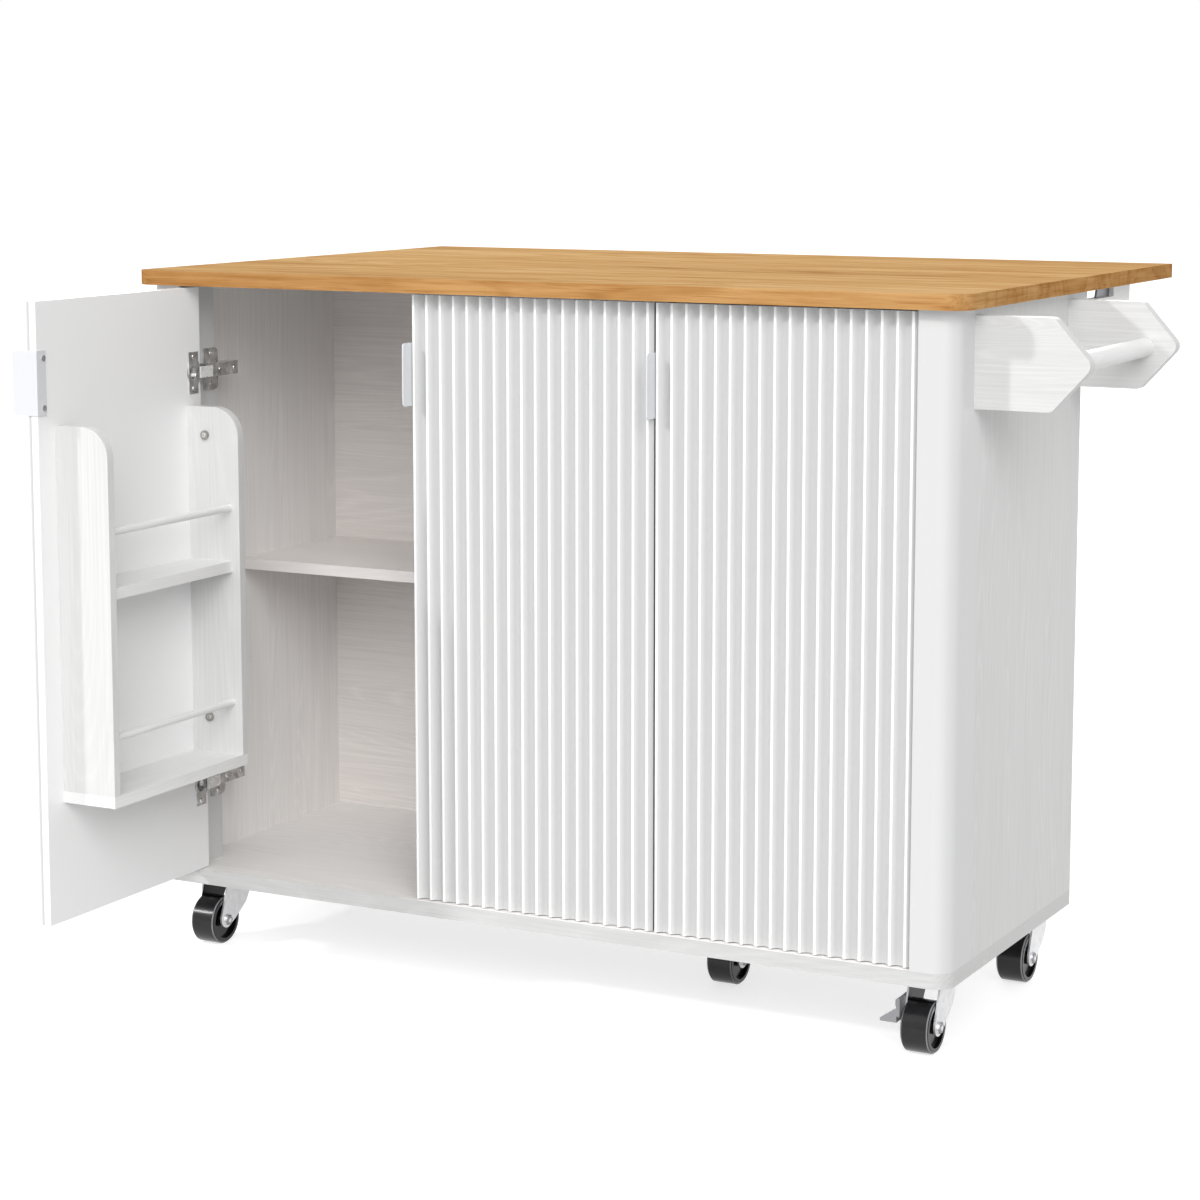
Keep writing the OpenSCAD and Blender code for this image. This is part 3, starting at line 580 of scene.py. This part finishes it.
def dress_doors():
    """The left door rests open, so its ridges look along X."""
    front = (PIVOT_PLANE + RIDGES - ORIGIN[1]) * MM
    left = (PIVOTS[0] + RIDGES - ORIGIN[0]) * MM
    closed = fluted_white("door_white", DOOR_PAINT, 1, front, GAP_SHADE_TONE)
    opened = fluted_white("door_white_left", DOOR_PAINT, 0, left)
    assign(closed, "door_middle", "door_right")
    assign(opened, "door_left")
    assign(satin_white("handle_white", HANDLE_PAINT, 0.22), *of_doors("handle_"))


def dress_hardware(nickel, zinc):
    assign(nickel, "hinge_plates", *of_doors("hinge_cups_"), *of_doors("door_screws_"))
    assign(metal("nickel_bright", LINK_STEEL, 0.25, metallic=0.25), *of_doors("hinge_links_"))
    assign(metal("bolt_steel", BOLT_STEEL, 0.3, worn=0.4), "rack_bolts")
    assign(zinc, "leaf_hinges_fixed", "leaf_hinges_moving", "arm_brackets", "caster_plates")
    assign(metal("dark_steel", DARK_STEEL, 0.4), "arm_plate_left", "arm_plate_right")
    assign(plastic("brake_grey", BRAKE_PLASTIC, 0.4), "brake_pedal")
    for caster in CASTERS:
        wheel = wheel_material("wheel_black_" + caster, centre("wheel_" + caster))
        fork = fork_material("fork_zinc_" + caster, (KINGS[caster][0] - ORIGIN[0]) * MM)
        assign(wheel, "wheel_" + caster)
        assign(fork, "fork_" + caster)


def soften_edges():
    round_edges(TOP_EDGE, "worktop", "drop_leaf")
    round_edges(ARROW_EDGE, "rack_side_near", "rack_side_far", "towel_bracket_front",
                "towel_bracket_rear")
    round_edges(BOARD_EDGE, "base_board", "bay_shelf", "rack_shelf_upper", "rack_shelf_lower")
    round_edges(SHEET_EDGE, "hinge_plates", *of_doors("door_"), *of_doors("handle_"),
                *of_doors("hinge_cups_"), *of_doors("hinge_links_"), segments=2)
    round_edges(FORK_EDGE, "brake_pedal", *("fork_" + caster for caster in CASTERS), segments=2)


# Small hardware

def new_object(name, mesh):
    thing = bpy.data.objects.new(name, mesh)
    bpy.context.scene.collection.objects.link(thing)
    return thing


def lathe(mesh, profile, steps):
    """Closed solid turned about Z from (radius, height) points that start and end on the axis."""
    rows = []
    for radius, height in profile:
        if radius == 0:
            rows.append([mesh.verts.new((0, 0, height))])
        else:
            rows.append([mesh.verts.new((radius * math.cos(2 * math.pi * k / steps),
                                         radius * math.sin(2 * math.pi * k / steps), height))
                         for k in range(steps)])
    for low, high in zip(rows, rows[1:]):
        for k in range(steps):
            below = [low[k % len(low)], low[(k + 1) % len(low)]]
            above = [high[(k + 1) % len(high)], high[k % len(high)]]
            mesh.faces.new(list(dict.fromkeys(below + above)))


def block(mesh, size, centre_at):
    made = bmesh.ops.create_cube(mesh, size=1)["verts"]
    bmesh.ops.scale(mesh, vec=size, verts=made)
    bmesh.ops.translate(mesh, vec=centre_at, verts=made)


def screw_mesh(radius, height):
    """Pan head with a cross recess, standing on Z = 0, in millimetres."""
    head = bmesh.new()
    lathe(head, [(0, -0.4), (radius, -0.4), (radius, height * 0.35), (radius * 0.92, height * 0.7),
                 (radius * 0.7, height * 0.93), (radius * 0.35, height), (0, height)], 28)
    cross = bmesh.new()
    block(cross, (radius * 1.15, radius * 0.26, height * 1.4), (0, 0, height))
    block(cross, (radius * 0.26, radius * 1.15, height * 1.4), (0, 0, height))
    things = []
    for label, shape in (("head", head), ("cross", cross)):
        data = bpy.data.meshes.new(label)
        bmesh.ops.recalc_face_normals(shape, faces=shape.faces)
        shape.to_mesh(data)
        shape.free()
        things.append(new_object(label, data))
    cut = things[0].modifiers.new("cut", "BOOLEAN")
    cut.object = things[1]
    cut.operation = "DIFFERENCE"
    cut.use_self = True
    depsgraph = bpy.context.evaluated_depsgraph_get()
    result = bpy.data.meshes.new_from_object(things[0].evaluated_get(depsgraph))
    for thing in things:
        bpy.data.objects.remove(thing)
    return result


class Kit:
    """Small hardware on one body, gathered in one mesh, in millimetres of the CAD source."""

    def __init__(self, name, body, slot, material):
        self.name, self.body, self.slot, self.material = name, body, slot, material
        self.mesh = bmesh.new()

    def add(self, part, frame_of=Matrix.Identity(4), at=(0, 0, 0), along=(0, 0, 1)):
        """Copies a mesh with its Z axis along a direction, at a point of a local frame."""
        copy = bmesh.new()
        copy.from_mesh(part)
        turn = Vector(along).to_track_quat("Z", "Y").to_matrix().to_4x4()
        copy.transform(frame_of @ Matrix.Translation(at) @ turn)
        data = bpy.data.meshes.new("part")
        copy.to_mesh(data)
        copy.free()
        self.mesh.from_mesh(data)
        bpy.data.meshes.remove(data)

    def done(self):
        shift = Matrix.Translation((-ORIGIN[0], -ORIGIN[1], 0))
        self.mesh.transform(Matrix.Scale(MM, 4) @ shift)
        bmesh.ops.recalc_face_normals(self.mesh, faces=self.mesh.faces)
        data = bpy.data.meshes.new(self.name)
        self.mesh.to_mesh(data)
        self.mesh.free()
        piece = new_object(self.name, data)
        data.materials.append(self.material)
        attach(piece, self.body)


def door_frame(index, opening):
    turn = Matrix.Rotation(math.radians(-opening if index == 0 else opening), 4, "Z")
    flip = Matrix.Identity(4) if index == 0 else Matrix.Scale(-1, 4, (1, 0, 0))
    return Matrix.Translation((PIVOTS[index], PIVOT_PLANE, 0)) @ turn @ flip


def turned(profile, steps):
    shape = bmesh.new()
    lathe(shape, profile, steps)
    data = bpy.data.meshes.new("turned")
    shape.to_mesh(data)
    shape.free()
    return data


def hinge_hardware(nickel, screw):
    """Screws on the cup flanges, the mounting plates and the hinge arms."""
    fixed = Kit("hinge_screws_fixed", "cabinet", "nickel", nickel)
    for index, door in enumerate(DOORS):
        closed = door_frame(index, 0)
        moved = door_frame(index, REST_OPENING[index])
        loose = Kit("flange_screws_" + door, door + "_door", "nickel", nickel)
        for z in HINGE_Z:
            for side in (-HINGE_SCREW, HINGE_SCREW):
                loose.add(screw, moved, (FLANGE_X, INNER + SHEET, z + side), (0, 1, 0))
                plate = PLATE_FACES[index] + HINGE_PLATE
                fixed.add(screw, closed, (plate, PLATE_SCREW_Y, z + side), (1, 0, 0))
            for y in ARM_SCREWS_Y:
                fixed.add(screw, closed, (LINK_X, y, z), (1, 0, 0))
        if index == 0:
            for y, z in BOLTS:
                head = RACK_T + BOLT_HEAD
                loose.add(screw, moved, (RACK_X[0] + head, INNER + y, z), (1, 0, 0))
                loose.add(screw, moved, (RACK_X[1] - head, INNER + y, z), (-1, 0, 0))
        loose.done()
    fixed.done()


def caster_hardware(zinc, dark, screw):
    """Axle nuts on the fork legs and the screws of the caster plates."""
    nut = turned([(0, 0), (7.4, 0), (7.4, 2.6), (6.6, 3.2), (0, 3.2)], 6)
    washer = turned([(0, 0), (8.6, 0), (8.6, 0.7), (8.2, 0.9), (0, 0.9)], 32)
    stud = turned([(0, 0), (3.2, 0), (3.2, 3.5), (2.6, 3.8), (0, 3.8)], 24)
    plates = Kit("caster_screws", "cabinet", "zinc_steel", zinc)
    for caster in CASTERS:
        x, y = KINGS[caster]
        ends = Kit("axle_ends_" + caster, "swivel_" + caster, "zinc_steel", zinc)
        nuts = Kit("axle_nuts_" + caster, "swivel_" + caster, "dark_steel", dark)
        for side in (-1, 1):
            for kit, part in ((ends, washer), (nuts, nut), (ends, stud)):
                kit.add(part, at=(x + side * LEG_OUT, y + AXLE[0], AXLE[1]), along=(side, 0, 0))
        ends.done()
        nuts.done()
        for dx in (-CASTER_SCREW, CASTER_SCREW):
            for dy in (-CASTER_SCREW, CASTER_SCREW):
                plates.add(screw, at=(x + dx, y + dy, PLATE_Z), along=(0, 0, -1))
    plates.done()


def leaf_hardware(zinc, screw):
    """Screws in the flaps of the leaf hinges."""
    halves = (("leaf_screws_fixed", "cabinet", -1), ("leaf_screws_moving", "leaf", 1))
    for name, body, side in halves:
        kit = Kit(name, body, "zinc_steel", zinc)
        y = LEAF_AXIS_Y + side * LEAF_SCREW_Y
        for x in LEAF_HINGES:
            for dx in LEAF_SCREWS_X:
                kit.add(screw, at=(x + dx, y, UNDER_TOP - SHEET), along=(0, 0, -1))
        kit.done()


make_camera()
make_lamps()
make_world()
make_floor()
bpy.context.scene.view_settings.view_transform = "Standard"
nickel_metal = metal("nickel", NICKEL, 0.18, worn=0.6, metallic=0.8)
zinc_metal = metal("zinc_steel", ZINC, 0.32, worn=0.12)
nut_metal = metal("nut_steel", NUT_STEEL, 0.38)
dress_boards()
dress_doors()
dress_hardware(nickel_metal, zinc_metal)
soften_edges()
small_screw = screw_mesh(SCREW_RADIUS, SCREW_HEIGHT)
hinge_hardware(nickel_metal, small_screw)
caster_hardware(zinc_metal, nut_metal, small_screw)
leaf_hardware(zinc_metal, small_screw)
